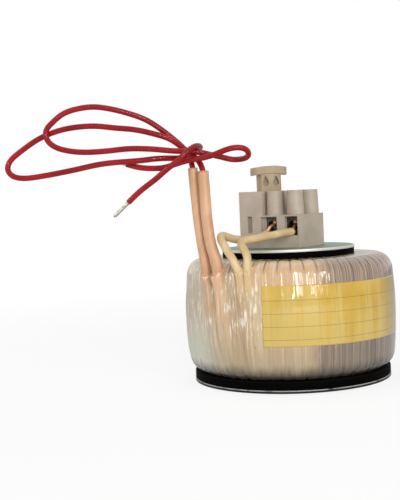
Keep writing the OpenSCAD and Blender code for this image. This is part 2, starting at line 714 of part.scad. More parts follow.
module carrier_handle() {
    seat_z = handle_z + carrier_seat;
    difference() {
        translate([0, 0, seat_z]) linear_extrude(neck_h + bar_t / 2)
            rounded_plan(neck_w, neck_d, neck_edge_r);
        for (s = [0, 1]) mirror([0, s, 0]) for (x = [-dent_x, dent_x])
            translate([x, -neck_d / 2, handle_z + neck_h / 2]) dent();
    }
    translate([0, 0, seat_z + neck_h]) intersection() {
        translate([0, 0, -bar_t]) linear_extrude(3 * bar_t) rounded_plan(bar_w, bar_d, bar_edge_r);
        translate([0, bar_d, bar_t - bar_arch_r]) rotate([90, 0, 0]) difference() {
            cylinder(h = 2 * bar_d, r = bar_arch_r, $fn = 240);
            translate([0, 0, -eps]) cylinder(h = 2 * bar_d + 2 * eps, r = bar_arch_r - bar_t, $fn = 240);
        }
    }
}

module fuse_carrier() {
    foot_z = fuse_z + fuse_bare;
    color([0.69, 0.61, 0.48]) translate([fuse_x, fuse_y, 0]) difference() {
        union() {
            translate([0, 0, foot_z])
                cylinder(h = handle_z + carrier_seat - foot_z + eps, r = chamber_r - carrier_play);
            rotate([0, 0, neck_turn]) carrier_handle();
        }
        translate([0, 0, foot_z - eps])
            cylinder(h = fuse_l - fuse_bare + fuse_clear + eps, r = fuse_cap_r + fuse_clear);
        translate([-barrel_slot_w / 2, -chamber_r - 1, foot_z - eps])
            cube([barrel_slot_w, chamber_r, tongue_z + 2 - foot_z]);
    }
}

module fuse_glass() {
    r = fuse_cap_r - fuse_cap_wall - fuse_clear;
    g = fuse_cap_wall + fuse_clear;
    color([0.85, 0.92, 0.9, 0.5]) translate([fuse_x, fuse_y, fuse_z + g]) difference() {
        cylinder(h = fuse_l - 2 * g, r = r);
        translate([0, 0, -eps]) cylinder(h = fuse_l - 2 * g + 2 * eps, r = r - glass_wall);
    }
}

module fuse_caps() {
    color([0.8, 0.8, 0.78]) translate([fuse_x, fuse_y, fuse_z + fuse_l / 2])
        for (s = [0, 1]) mirror([0, 0, s]) translate([0, 0, -fuse_l / 2]) difference() {
            cylinder(h = fuse_cap_l, r = fuse_cap_r);
            translate([0, 0, fuse_cap_wall]) cylinder(h = fuse_cap_l, r = fuse_cap_r - fuse_cap_wall);
        }
}

module fuse_wire() {
    color([0.85, 0.85, 0.85]) translate([fuse_x, fuse_y, fuse_z + fuse_cap_wall])
        cylinder(h = fuse_l - 2 * fuse_cap_wall, r = fuse_wire_r, $fn = 16);
}

// ---- Leads ----

module secondary_sleeve_left() {
    color(salmon) sleeve(SLEEVE_LEFT, sleeve_left_d / 2, lead_d / 2 + sleeve_play);
}

module secondary_sleeve_right() {
    color(salmon) sleeve(SLEEVE_RIGHT, sleeve_right_d / 2, lead_d / 2 + sleeve_play);
}

module red_lead_a() {
    color(red) swept_tube(RED_A, lead_d / 2);
}

module red_lead_b() {
    color(red) swept_tube(RED_B, lead_d / 2);
}

module tinned_end_a() {
    color(steel) swept_tube(TIN_A, tin_d / 2);
}

module tinned_end_b() {
    color(steel) swept_tube(TIN_B, tin_d / 2);
}

module primary_sleeve_left() {
    color(cream) sleeve(PRIMARY_LEFT, primary_sleeve_d / 2, conductor_d / 2 + conductor_play);
}

module primary_sleeve_right() {
    color(cream) sleeve(PRIMARY_RIGHT, primary_sleeve_d / 2, conductor_d / 2 + conductor_play);
}

module primary_conductor_left() {
    color(copper) swept_tube(CONDUCTOR_LEFT, conductor_d / 2);
}

module primary_conductor_right() {
    color(copper) swept_tube(CONDUCTOR_RIGHT, conductor_d / 2);
}

core();
core_insulation();
primary_winding();
inter_winding_insulation();
secondary_winding();
outer_film();
label();
bottom_rubber_washer();
bottom_steel_disc();
top_rubber_washer();
top_steel_disc();
centre_bolt();
centre_nut();
nut_washer();
terminal_housing();
live_supply_clamp();
live_fuse_clamp();
neutral_clamp();
clamp_screws();
lower_fuse_contact();
upper_fuse_contact();
fuse_carrier();
fuse_glass();
fuse_caps();
fuse_wire();
secondary_sleeve_left();
secondary_sleeve_right();
red_lead_a();
red_lead_b();
tinned_end_a();
tinned_end_b();
primary_sleeve_left();
primary_sleeve_right();
primary_conductor_left();
primary_conductor_right();
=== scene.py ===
# %% [markdown]
# # A toroidal mains transformer
# The imported CAD model is the frame: every piece here is in metres and lies where the CAD puts it.
# The script first loads that frame; part_box reads the box of any one of its pieces.

import math

import bmesh
import bpy
import numpy as np
from mathutils import Matrix, Vector


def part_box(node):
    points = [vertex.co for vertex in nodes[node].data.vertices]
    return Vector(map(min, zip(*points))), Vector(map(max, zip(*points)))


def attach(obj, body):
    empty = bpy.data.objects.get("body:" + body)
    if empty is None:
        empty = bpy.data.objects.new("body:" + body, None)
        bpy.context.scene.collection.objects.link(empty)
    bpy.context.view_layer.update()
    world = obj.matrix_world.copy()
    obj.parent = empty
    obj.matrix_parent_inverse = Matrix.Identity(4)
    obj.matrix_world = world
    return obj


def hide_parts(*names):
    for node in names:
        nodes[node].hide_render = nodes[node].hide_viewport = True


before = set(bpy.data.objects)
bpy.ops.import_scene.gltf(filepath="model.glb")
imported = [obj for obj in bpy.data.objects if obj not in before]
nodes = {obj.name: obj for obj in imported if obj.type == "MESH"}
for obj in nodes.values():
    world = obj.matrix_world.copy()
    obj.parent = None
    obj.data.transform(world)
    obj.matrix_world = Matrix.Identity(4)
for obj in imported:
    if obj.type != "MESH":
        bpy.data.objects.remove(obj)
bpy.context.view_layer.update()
BODY = "transformer"
MM = 0.001

# %% [markdown]
# ## The camera
# The camera stands a little above the terminal block and nearly level, with a long lens,
# so the ring shows its side and only a sliver of the disc on top.

# %% Camera
TURN = math.radians(29.2)
DISTANCE = 0.3864
HEIGHT = 0.0705
PITCH, PAN, ROLL = 0.0532, -0.0878, -0.0436


def rotated(v):
    """A direction given across, away and up from the camera's side, in the part's frame."""
    return Matrix.Rotation(TURN, 3, "Z") @ Vector(v)


ahead = Vector((math.sin(PAN) * math.cos(PITCH), math.cos(PAN) * math.cos(PITCH), -math.sin(PITCH)))
level = Vector((math.cos(PAN), -math.sin(PAN), 0))
above = level.cross(ahead)
across = math.cos(ROLL) * level + math.sin(ROLL) * above
upward = -math.sin(ROLL) * level + math.cos(ROLL) * above

camera_data = bpy.data.cameras.new("camera")
camera_data.sensor_width = 36
camera_data.lens = 72
camera = bpy.data.objects.new("camera", camera_data)
bpy.context.scene.collection.objects.link(camera)
turned = Matrix([rotated(across), rotated(upward), rotated(-ahead)]).transposed()
camera.matrix_world = Matrix.Translation(rotated((0, -DISTANCE, HEIGHT))) @ turned.to_4x4()
bpy.context.scene.camera = camera
bpy.context.scene.view_settings.view_transform = "Standard"
print("camera at", [round(x, 3) for x in camera.matrix_world.translation])

# %% [markdown]
# ## Helpers for meshes
# Most pieces here are swept or turned. Both can be made as a grid of points: rows along the piece
# and columns round it. One function turns such a grid into a mesh, with quads that wrap where the
# piece closes on itself. Building the grid with arrays is quick and keeps each shape in one formula.


# %% Grid meshes
def piece(name, mesh, replaces=(), slot=None):
    """Puts a mesh in the scene and lets it ride on the transformer's body."""
    obj = bpy.data.objects.new(name, mesh)
    bpy.context.scene.collection.objects.link(obj)
    for face in mesh.polygons:
        face.use_smooth = True
    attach(obj, BODY)
    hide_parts(*replaces)
    return obj


def grid_mesh(name, points, wrap_rows=False, caps=False):
    """A mesh from points[row, column, xyz]. Columns always wrap; rows wrap or end in flat caps."""
    rows, columns = points.shape[:2]
    last = rows if wrap_rows else rows - 1
    i, k = np.meshgrid(np.arange(last), np.arange(columns), indexing="ij")
    j, m = (i + 1) % rows, (k + 1) % columns
    quads = np.stack([i * columns + k, i * columns + m, j * columns + m, j * columns + k], -1)
    faces = quads.reshape(-1, 4).tolist()
    if caps:
        faces.append(list(range(columns))[::-1])
        faces.append([(rows - 1) * columns + c for c in range(columns)])
    mesh = bpy.data.meshes.new(name)
    mesh.from_pydata(points.reshape(-1, 3).tolist(), [], faces)
    mesh.update()
    return mesh


def outward(mesh):
    """Turns every face's normal to the outside."""
    b = bmesh.new()
    b.from_mesh(mesh)
    bmesh.ops.recalc_face_normals(b, faces=b.faces)
    b.to_mesh(mesh)
    b.free()
    return mesh


print("mesh helpers ready")

# %% [markdown]
# ## The leads
# Each lead is a round tube that follows given points, the same as in the CAD source. A spline
# through the points gives the smooth line that stiff insulated wire takes. The rings of the tube
# carry one side vector along, so that the tube doesn't twist, and a curve object could do the same,
# but a mesh allows cut ends, a bore in the sleeves and strands on the tinned ends.


# %% Routes and tubes
SAMPLE, STEP, SMOOTHINGS = 0.1, 0.8, 6


def smooth_route(points):
    """Points about every STEP millimetres on a smooth line through the given ones."""
    p = np.array(points, float)
    p = np.vstack([2 * p[0] - p[1], p, 2 * p[-1] - p[-2]])
    t = np.concatenate([[0], np.cumsum(np.linalg.norm(np.diff(p, axis=0), axis=1) ** 0.5)])
    line = []
    for i in range(1, len(p) - 2):
        n = max(2, int(np.linalg.norm(p[i + 1] - p[i]) / SAMPLE))
        for u in np.linspace(t[i], t[i + 1], n, endpoint=False):
            a = [((t[j + 1] - u) * p[j] + (u - t[j]) * p[j + 1]) / (t[j + 1] - t[j])
                 for j in (i - 1, i, i + 1)]
            b = [((t[j + 2] - u) * a[k] + (u - t[j]) * a[k + 1]) / (t[j + 2] - t[j])
                 for k, j in ((0, i - 1), (1, i))]
            line.append(((t[i + 1] - u) * b[0] + (u - t[i]) * b[1]) / (t[i + 1] - t[i]))
    line = np.array(line + [p[-2]])
    run = np.concatenate([[0], np.cumsum(np.linalg.norm(np.diff(line, axis=0), axis=1))])
    at = np.linspace(0, run[-1], max(3, int(run[-1] / STEP) + 1))
    line = np.stack([np.interp(at, run, line[:, c]) for c in range(3)], 1)
    for _ in range(SMOOTHINGS):
        line[1:-1] = 0.25 * line[:-2] + 0.5 * line[1:-1] + 0.25 * line[2:]
    return line


def length(line):
    """Length of a line of points, in its own unit."""
    return float(np.linalg.norm(np.diff(line, axis=0), axis=1).sum())


def rings(line, radius, sides=20):
    """points[ring, column, xyz] of a tube; radius is a number or one for each ring and column."""
    tangents = np.gradient(line, axis=0)
    tangents /= np.linalg.norm(tangents, axis=1)[:, None]
    side = np.cross(tangents[0], (0.3, 0.5, 0.8))
    sides_along = []
    for t in tangents:
        side = side - t * (side @ t)
        side /= np.linalg.norm(side)
        sides_along.append(side)
    u = np.array(sides_along)
    w = np.cross(tangents, u)
    a = np.linspace(0, 2 * np.pi, sides, endpoint=False)
    radius = np.broadcast_to(radius, (len(line), sides))[..., None]
    return line[:, None] + radius * (u[:, None] * np.cos(a)[:, None] + w[:, None] * np.sin(a)[:, None])


def tube(name, line, radius, sides=20, **how):
    """A round tube along a line, with flat ends."""
    mesh = grid_mesh(name, rings(line, radius, sides) * MM, caps=True)
    return piece(name, outward(mesh), **how)


SLEEVE_LIP = 0.12


def sleeve_tube(name, line, outer, bore, depth, **how):
    """A tube with a bore that runs back from its far end over a number of the line's points."""
    shell = rings(line, outer)
    shell_end = rings(line, outer - SLEEVE_LIP)[-1:]
    hollow = rings(line[-depth:], bore)[::-1]
    mesh = grid_mesh(name, np.concatenate([shell, shell_end, hollow]) * MM, caps=True)
    return piece(name, outward(mesh), **how)


# %% Points of the routes, in millimetres
SLEEVE_LEFT = [(-12, -39, 41.5), (-12, -39.5, 46), (-13.5, -39, 52.5), (-15, -38.5, 61.5),
               (-17, -37, 73), (-17.5, -37, 81)]
SLEEVE_RIGHT = [(-6.5, -40, 41.5), (-6.5, -40.5, 47), (-8.5, -40.5, 52.5), (-10.5, -39.5, 61.5),
                (-12, -38, 71.5), (-13, -37, 79.5)]
PRIMARY_LEFT = [(3, -40.5, 43), (2.5, -41.5, 45), (1, -41.5, 48), (-1.5, -41, 51), (-4, -39.5, 53.5),
                (-6.5, -37.5, 55.5), (-7, -35.5, 56.5), (-6.5, -33, 55.5), (-5.5, -29.5, 54.5),
                (-4.5, -25.5, 54), (-3, -20.5, 54), (-2.5, -16, 54.5), (-2, -12, 55.5)]
PRIMARY_RIGHT = [(6, -40, 43), (6, -40, 46), (5.5, -39, 49), (3.5, -38, 51.5), (1, -36, 53),
                 (0.5, -33, 54), (2.5, -29, 54.5), (4, -23.5, 55), (6, -18, 55.5), (7, -12.5, 56),
                 (7.5, -9.5, 56)]
RED_A = [(-12.5, -37.5, 75.5), (-13, -37, 79.5), (-14, -36.5, 82), (-16.5, -36, 84.5), (-19.5, -36.5, 87),
         (-22.5, -37.5, 89.5), (-25.5, -39, 92), (-30, -42, 94), (-36.5, -45.5, 96), (-43, -49, 97),
         (-49, -52.5, 98), (-55, -56, 98), (-61, -59.5, 97), (-67.5, -63, 94.5), (-73, -66.5, 90.5),
         (-77, -69.5, 86.5), (-77.5, -70.5, 83.5), (-75.5, -70, 81), (-71.5, -68.5, 80),
         (-65.5, -65, 80.5), (-56, -60, 82), (-45, -54, 84), (-34, -47.5, 84.5), (-28, -43.5, 85),
         (-25.5, -40, 85), (-24, -35.5, 85), (-22.5, -31.5, 86), (-20, -30, 87.5), (-17, -32, 88.5),
         (-15.5, -35.5, 89), (-15, -39.5, 88.5), (-15.5, -42.5, 87), (-17.5, -44.5, 84.5),
         (-20, -45.5, 82.5), (-23.5, -46.5, 80), (-26.5, -47.5, 77.5), (-30, -49, 75), (-33, -50.5, 72.5),
         (-36, -52, 69.5)]
RED_B = [(-17.25, -37, 77), (-17.5, -37, 81), (-19, -35.5, 83.5), (-21, -34, 86), (-23, -34, 88.5),
         (-26, -36, 92), (-29, -39, 95.5), (-33.5, -42.5, 99.5), (-38.5, -46, 102), (-44, -50, 104),
         (-49, -53.5, 105), (-53.5, -57, 104.5), (-58, -60, 103), (-61, -62.5, 100), (-63.5, -64, 97),
         (-63, -64, 93.5), (-60.5, -63, 91), (-57, -61, 89.5), (-51.5, -58, 88.5), (-44, -54, 88.5),
         (-36.5, -49.5, 89), (-29.5, -45.5, 88.5), (-23, -41.5, 87.5), (-18, -39, 87), (-14.5, -36, 86.5),
         (-12, -32.5, 85.5), (-9.5, -29, 84.5), (-7, -26.5, 83.5), (-4, -25.5, 83.5), (-0.5, -26.5, 84),
         (1.5, -28.5, 85.5), (1.5, -31, 87), (-0.5, -33.5, 87.5), (-3.5, -35, 87), (-7.5, -36.5, 85.5),
         (-11, -38, 84.5), (-14.5, -40, 84), (-18, -41, 83.5), (-21.5, -42.5, 82.5), (-25.5, -43.5, 81.5),
         (-30, -44.5, 81.5), (-34.5, -46, 82), (-39.5, -47.5, 83.5)]
TIN_A = [(-36, -52, 69.5), (-41, -54.5, 64.5)]
TIN_B = [(-39.5, -47.5, 83.5), (-44.5, -49, 85)]
CONDUCTOR_LEFT = [(-2.25, -14, 55), (-2, -12, 55.5), (-2, -11, 57), (-1.5, -9.5, 58.5), (-1.5, -5, 58.5)]
CONDUCTOR_RIGHT = [(7.25, -11, 56), (7.5, -9.5, 56), (7.5, -8.5, 57), (7, -7, 58.5), (7, -5, 58.5)]
print("routes of", len(RED_A), "and", len(RED_B), "points for the red leads")

# %% [markdown]
# ## Leads in place
# The red leads start inside their sleeves.
# The tinned ends are bundles of fine strands, twisted and dipped: the tube's radius rises and falls
# round it, and that pattern turns along it.


# %% Make the leads
RED_R, TIN_R, CONDUCTOR_R, SLEEVE_BORE, PRIMARY_BORE = 1.05, 0.7, 0.6, 1.25, 0.7


def tinned(name, ends, replaces):
    """A bundle of twisted, dipped strands between two points, blunt at its far end."""
    a, b = np.array(ends, float)
    along = np.linspace(0, 1, 60)
    line = a + (b - a) * along[:, None]
    turn_angle = np.linspace(0, 2 * np.pi, 42, endpoint=False)
    twist = along[:, None] * 5.5
    strands = np.abs(np.sin(3.5 * (turn_angle[None] + twist)))
    blunt = np.clip((1 - along) / 0.09, 0, 1)[:, None] ** 0.5
    profile = TIN_R * (0.93 + 0.07 * strands) * np.maximum(0.25, blunt)
    return tube(name, line, profile, 42, replaces=[replaces], slot="tinned_copper")


routes = {name: smooth_route(points) for name, points in {
    "red_lead_a": RED_A, "red_lead_b": RED_B, "sleeve_left": SLEEVE_LEFT, "sleeve_right": SLEEVE_RIGHT,
    "primary_left": PRIMARY_LEFT, "primary_right": PRIMARY_RIGHT,
    "conductor_left": CONDUCTOR_LEFT, "conductor_right": CONDUCTOR_RIGHT}.items()}

red_a = tube("red_lead_a_wire", routes["red_lead_a"], RED_R, replaces=["red_lead_a"], slot="red_insulation")
red_b = tube("red_lead_b_wire", routes["red_lead_b"], RED_R, replaces=["red_lead_b"], slot="red_insulation")
tin_a = tinned("red_lead_a_end", TIN_A, "tinned_end_a")
tin_b = tinned("red_lead_b_end", TIN_B, "tinned_end_b")
left_sleeve = sleeve_tube("left_sleeve", routes["sleeve_left"], 1.75, SLEEVE_BORE, 6,
                          replaces=["secondary_sleeve_left"], slot="salmon_sleeve")
right_sleeve = sleeve_tube("right_sleeve", routes["sleeve_right"], 2.05, SLEEVE_BORE, 6,
                           replaces=["secondary_sleeve_right"], slot="salmon_sleeve")
left_primary = sleeve_tube("left_primary_sleeve", routes["primary_left"], 1.45, PRIMARY_BORE, 4,
                           replaces=["primary_sleeve_left"], slot="cream_sleeve")
right_primary = sleeve_tube("right_primary_sleeve", routes["primary_right"], 1.45, PRIMARY_BORE, 3,
                            replaces=["primary_sleeve_right"], slot="cream_sleeve")
left_conductor = tube("left_conductor", routes["conductor_left"], CONDUCTOR_R,
                      replaces=["primary_conductor_left"], slot="bare_copper")
right_conductor = tube("right_conductor", routes["conductor_right"], CONDUCTOR_R,
                       replaces=["primary_conductor_right"], slot="bare_copper")


def declare(obj, route):
    """Says how long a cord is."""
    line = routes[route] * MM
    print(obj.name, "is", round(length(line) * 1000), "mm long")


declare(left_sleeve, "sleeve_left")
declare(right_sleeve, "sleeve_right")
declare(red_a, "red_lead_a")
declare(red_b, "red_lead_b")
declare(left_primary, "primary_left")
declare(right_primary, "primary_right")

# %% [markdown]
# ## The wrapped ring
# The ring is wound with clear polyester film, strip by strip through the hole. Each strip's edge is
# a small step, the film puckers where it bends over the shoulder, and it stands in ridges over the
# leads that come out under it. All this is one height map over the ring: the angle round it, and
# the distance along its section. Real geometry is right for it, because the outline and the long
# highlights show every ridge, and a bump alone would leave both straight.

# %% Section of the ring
RING_BOTTOM, RING_TOP = 4.0, 46.8
SIDE_R, BULGE, HOLE_R, SHOULDER = 39.3, 0.8, 11.4, 5.5
RING_MIDDLE = (RING_BOTTOM + RING_TOP) / 2
HALF = (RING_TOP - RING_BOTTOM) / 2
STRAIGHT = HALF - SHOULDER
ARC_R = STRAIGHT**2 / (2 * BULGE) + BULGE / 2
SECTION_ROWS = 98
ROWS_SPREAD = [1.0, 2.6, 0.6, 0.25, 1.1, 1.0]  # closest over the outer top corner and the top


def side_radius(z):
    """Radius of the bulged side at a height over the ring's middle."""
    return SIDE_R + BULGE - ARC_R + np.sqrt(ARC_R**2 - z**2)


def ring_section():
    """Points and outward directions, each (radius, height), round the section from the side's foot."""
    z = np.linspace(-STRAIGHT, STRAIGHT, 200)
    side = np.stack([side_radius(z), z], 1)

    tilt = math.asin(STRAIGHT / ARC_R)
    bend = SHOULDER / (1 - math.sin(tilt))

    def corner(x, y, r, first, last):
        a = np.linspace(first, last, 60)
        return np.stack([x + r * np.cos(a), y + r * np.sin(a)], 1)

    outer, inner = SIDE_R - bend * math.cos(tilt), HOLE_R + SHOULDER
    pieces = [side, corner(outer, HALF - bend, bend, tilt, np.pi / 2),
              corner(inner, STRAIGHT, SHOULDER, np.pi / 2, np.pi),
              corner(inner, -STRAIGHT, SHOULDER, np.pi, 1.5 * np.pi),
              corner(outer, bend - HALF, bend, 1.5 * np.pi, 2 * np.pi - tilt)]
    path = np.vstack(pieces + [side[:1]])
    density = np.repeat(ROWS_SPREAD, [len(p) for p in pieces] + [1])
    steps = np.linalg.norm(np.diff(path, axis=0), axis=1)
    run = np.concatenate([[0], np.cumsum(steps * density[:-1])])
    at = np.linspace(0, run[-1], SECTION_ROWS, endpoint=False)
    p = np.stack([np.interp(at, run, path[:, 0]), np.interp(at, run, path[:, 1])], 1)
    step = np.roll(p, -1, 0) - np.roll(p, 1, 0)
    normal = np.stack([step[:, 1], -step[:, 0]], 1)
    normal /= np.linalg.norm(normal, axis=1)[:, None]
    return p, normal


section_points, section_normals = ring_section()
print("section of", len(section_points), "points from", section_points.min(0).round(1), "to",
      section_points.max(0).round(1))

# %% Height map of the film
EXITS = [math.atan2(p[1], p[0])
         for p in (SLEEVE_LEFT[0], SLEEVE_RIGHT[0], PRIMARY_LEFT[0], PRIMARY_RIGHT[0])]
# Each exit's ridge: its half width and how far it stands out, the heights over the ring's middle of
# its lip and of where it starts to fade, and the slant of the lip.
RIDGES = [(2.15, 3.9, 16.3, 15.2, -0.45), (2.35, 3.9, 16.3, 15.2, 0.4),
          (1.85, 3.5, 17.8, 16.8, -0.15), (1.8, 3.3, 17.8, 16.8, 0.15)]
STRIPS, FOLDS = 40, 54
STRIP_STEP, FOLD_DEPTH, FOLD_BACK = 0.16, 0.42, 0.12
DEEPEST = -0.4


def waves(rng, angle, z, counts, amount, drift):
    """A sum of waves round the ring, each with its own phase that drifts with height."""
    total = np.zeros(np.broadcast(angle, z).shape)
    for n in counts:
        phase, lean, size = rng.uniform(0, 6.28), rng.normal(0, drift), rng.uniform(0.5, 1)
        total += size * np.cos(n * angle + phase + lean * z / 10)
    return amount * total / math.sqrt(len(counts))


def gap(angle, middle):
    """How far an angle is from a middle, in millimetres round the ring."""
    return ((angle - middle + np.pi) % (2 * np.pi) - np.pi) * SIDE_R


def pucker(angle):
    """0 in the creases between the film's folds over the shoulder and 1 on their backs."""
    return np.abs(np.sin(FOLDS / 2 * angle + 0.55 * np.sin(3 * angle))) ** 0.8


def wrinkles(rng, angle, z, count, first, last, tallest):
    """Long thin wrinkles up the side, at random places between two directions."""
    h = np.zeros(np.broadcast(angle, z).shape)
    for _ in range(count):
        middle, lean, bend = rng.uniform(first, last), rng.normal(0, 0.06), rng.normal(0, 0.002)
        width, height = rng.uniform(0.35, 0.95), rng.uniform(0.3, 1) * tallest
        low, high = rng.uniform(-21, 0), rng.uniform(4, 20)
        fade = np.clip((z - low) / 6, 0, 1) * np.clip((high - z) / 6, 0, 1)
        off = gap(angle, math.radians(middle)) - lean * z - bend * z**2
        h = np.maximum(h, height * fade * np.exp(-((off / width) ** 2)))
    return h


def film_height(angle, z, side):
    """Height of the film over its nominal face. side is 1 on the outer side and top, 0 in the hole."""
    rng = np.random.default_rng(11)
    strip = (angle * STRIPS / (2 * np.pi) + 0.006 * z + 0.12 * np.sin(5 * angle)) % 1
    h = -STRIP_STEP * (1 - strip) ** 2 - 0.03
    h += -0.05 * np.abs(waves(rng, angle, z, range(55, 130, 5), 1.0, 0.5)) * side
    h += waves(rng, angle, z, range(130, 300, 13), 0.01, 0.9)
    top = np.clip((z - HALF + 4.8) / 3, 0, 1)
    foot = np.clip((-z - HALF + 7) / 4, 0, 1)
    h += (FOLD_BACK - FOLD_DEPTH * (1 - pucker(angle))) * side * (top + 0.6 * foot)
    h += wrinkles(rng, angle, z, 64, -172, -76, 0.5) * side
    h += wrinkles(rng, angle, z, 50, -76, 188, 0.12) * side
    return np.maximum(h, DEEPEST)


def lead_ridges(angle, z):
    """Ridges of film over the leads: a lip round each exit, then lower and lower down the side."""
    h = 0
    for middle, (width, height, lip, end, slant) in zip(EXITS, RIDGES):
        off_middle = np.clip(gap(angle, middle), -2.5, 2.5)
        lip = lip + slant * off_middle + 0.32 * off_middle**2
        below = np.clip(end - z, 0, None)
        fade = (0.26 + 0.74 * np.exp(-below / 4.5)) * np.clip((z + HALF) / 16, 0, 1)
        fade = fade * np.clip((lip + 0.8 - z) / 0.8, 0, 1) ** 0.7
        drift = 3.4 * (below / 34) ** 2
        h = np.maximum(h, height * fade * np.exp(-(((gap(angle, middle) - drift) / width) ** 4)))
    return h


def film_surface(angle):
    """points[angle, row, xyz] of the film's face for the section's rows, in millimetres."""
    r, z = section_points[:, 0][None], section_points[:, 1][None]
    side = np.clip((r - HOLE_R) / 12, 0, 1)
    a = angle[:, None]
    h = film_height(a, z, side) + lead_ridges(a, z) * (r > SIDE_R - SHOULDER - 2)
    rr = r + section_normals[:, 0][None] * h
    zz = np.clip(z + section_normals[:, 1][None] * h, -HALF, HALF)
    return np.stack([rr * np.cos(a), rr * np.sin(a), RING_MIDDLE + zz], -1)


FILM_COLUMNS = 1000
film_points = film_surface(np.linspace(-np.pi, np.pi, FILM_COLUMNS, endpoint=False))
film_mesh = grid_mesh("film", film_points * MM, wrap_rows=True)
film = piece("wound_film", outward(film_mesh), replaces=["outer_film"], slot="winding_film")
print("film with", len(film_mesh.polygons), "faces")

# %% [markdown]
# ## The label
# The label lies under the last turns of film, so it takes the film's ridges. It is a strip of the
# same height map, a little higher, with a thin edge all round.

# %% Label
LABEL_MIDDLE, LABEL_SPAN = math.radians(-30), math.radians(90)
LABEL_Z, LABEL_H = 27.7, 21.4
LABEL_LOW, LABEL_HIGH = LABEL_Z - LABEL_H / 2 - RING_MIDDLE, LABEL_Z + LABEL_H / 2 - RING_MIDDLE
LABEL_FACE, LABEL_BACK = 0.14, -0.25
LABEL_COLUMNS, LABEL_ROWS = 260, 50


def side_point(angle, z, lift):
    """A point of the film on the ring's side at an angle and height, lifted outwards."""
    r = side_radius(z)
    h = film_height(angle, z, 1.0) * 0.75 + lead_ridges(angle, z) + lift
    return np.stack([(r + h) * np.cos(angle), (r + h) * np.sin(angle), RING_MIDDLE + z], -1)


def label_sheet(lift):
    """points[column, row, xyz] of one face of the label."""
    a = LABEL_MIDDLE + LABEL_SPAN * np.linspace(-0.5, 0.5, LABEL_COLUMNS)[:, None]
    z = np.linspace(LABEL_LOW, LABEL_HIGH, LABEL_ROWS)[None]
    return side_point(a + 0 * z, z + 0 * a, lift)


loop = np.concatenate([label_sheet(LABEL_FACE), label_sheet(LABEL_BACK)[:, ::-1]], axis=1)
label_mesh = grid_mesh("label", loop * MM, caps=True)
label = piece("blank_label", outward(label_mesh), replaces=["label"], slot="yellow_label")
print("label with", len(label_mesh.polygons), "faces")

# %% [markdown]
# ## Discs and rubbers
# These are turned shapes. A profile is turned round the axis, with small rounded corners, because a
# stamped disc's rolled edge catches the light as a thin bright line.


# %% Turned pieces
TURNED_SIDES = 180


def turned_piece(name, profile, round_off=0.12, **how):
    """A ring from a closed profile of (radius, height) in millimetres with its corners rounded."""
    p = np.array(profile, float)
    out = []
    for i in range(len(p)):
        before, here, after = p[i - 1], p[i], p[(i + 1) % len(p)]
        a, b = before - here, after - here
        cut = min(round_off, np.linalg.norm(a) / 2.5, np.linalg.norm(b) / 2.5)
        a, b = here + a / np.linalg.norm(a) * cut, here + b / np.linalg.norm(b) * cut
        for u in (0, 0.35, 0.65, 1):
            out.append((1 - u) ** 2 * a + 2 * u * (1 - u) * here + u * u * b)
    out = np.array(out)
    angle = np.linspace(0, 2 * np.pi, TURNED_SIDES, endpoint=False)
    points = np.stack([out[None, :, 0] * np.cos(angle)[:, None], out[None, :, 0] * np.sin(angle)[:, None],
                       np.broadcast_to(out[None, :, 1], (TURNED_SIDES, len(out)))], -1)
    mesh = grid_mesh(name, points * MM, wrap_rows=True)
    obj = piece(name, outward(mesh), **how)
    print(name, "with", len(mesh.polygons), "faces")
    return obj


top_disc = turned_piece("top_disc", [(2.2, 49), (25.4, 49), (25.4, 50), (2.2, 50)], round_off=0.2,
                        replaces=["top_steel_disc"], slot="zinc_plated_steel")
top_rubber = turned_piece("top_rubber", [(10.5, 46.8), (25.2, 46.8), (25.2, 49), (10.5, 49)],
                          replaces=["top_rubber_washer"], slot="black_rubber")
bottom_rubber = turned_piece("bottom_rubber", [(10.5, 1.2), (37.5, 1.2), (37.5, 4), (10.5, 4)], round_off=0.3,
                             replaces=["bottom_rubber_washer"], slot="black_rubber")
bottom_disc = turned_piece("bottom_disc", [(9, 0), (37.6, 0), (37.6, 1.2), (9.6, 1.2), (7.1, 6.2), (2.2, 6.2),
                                           (2.2, 5), (6.5, 5)], round_off=0.3,
                           replaces=["bottom_steel_disc"], slot="black_coated_steel")

# %% [markdown]
# ## Shader maths
# Materials are easier to read as formulas. The class below wraps a socket, and its operators add
# the Math or Vector Math nodes. Every other node comes from its one method, make.


# %% The socket class
class Wire:
    """A socket of a material's nodes that can be calculated with."""

    def __init__(self, tree, socket=None):
        self.tree, self.socket = tree, socket

    def make(self, kind, settings=(), inputs=(), out=0):
        """Adds a node: its settings first, then its sockets' values or links."""
        node = self.tree.nodes.new(kind)
        for key, value in dict(settings).items():
            setattr(node, key, value)
        for key, value in dict(inputs).items():
            socket = node.inputs[key]
            if isinstance(value, Wire):
                self.tree.links.new(value.socket, socket)
            elif socket.type == "RGBA" and len(value) == 3:
                socket.default_value = (*value, 1)
            elif socket.type == "VECTOR" and not hasattr(value, "__len__"):
                socket.default_value = (value, value, value)
            else:
                socket.default_value = value
        return Wire(self.tree, node.outputs[out])

    def maths(self, operation, a, b):
        """Adds a Math node, or a Vector Math node where either value is a vector."""
        def is_wide(v):
            return v.socket.type != "VALUE" if isinstance(v, Wire) else hasattr(v, "__len__")

        kind = "ShaderNodeVectorMath" if is_wide(a) or is_wide(b) else "ShaderNodeMath"
        return self.make(kind, {"operation": operation}, {0: a, 1: b})

    def __add__(self, other):
        return self.maths("ADD", self, other)

    def __sub__(self, other):
        return self.maths("SUBTRACT", self, other)

    def __mul__(self, other):
        return self.maths("MULTIPLY", self, other)

    def __pow__(self, other):
        return self.maths("POWER", self, other)

    def __radd__(self, other):
        return self.maths("ADD", other, self)

    def __rsub__(self, other):
        return self.maths("SUBTRACT", other, self)

    def __rmul__(self, other):
        return self.maths("MULTIPLY", other, self)


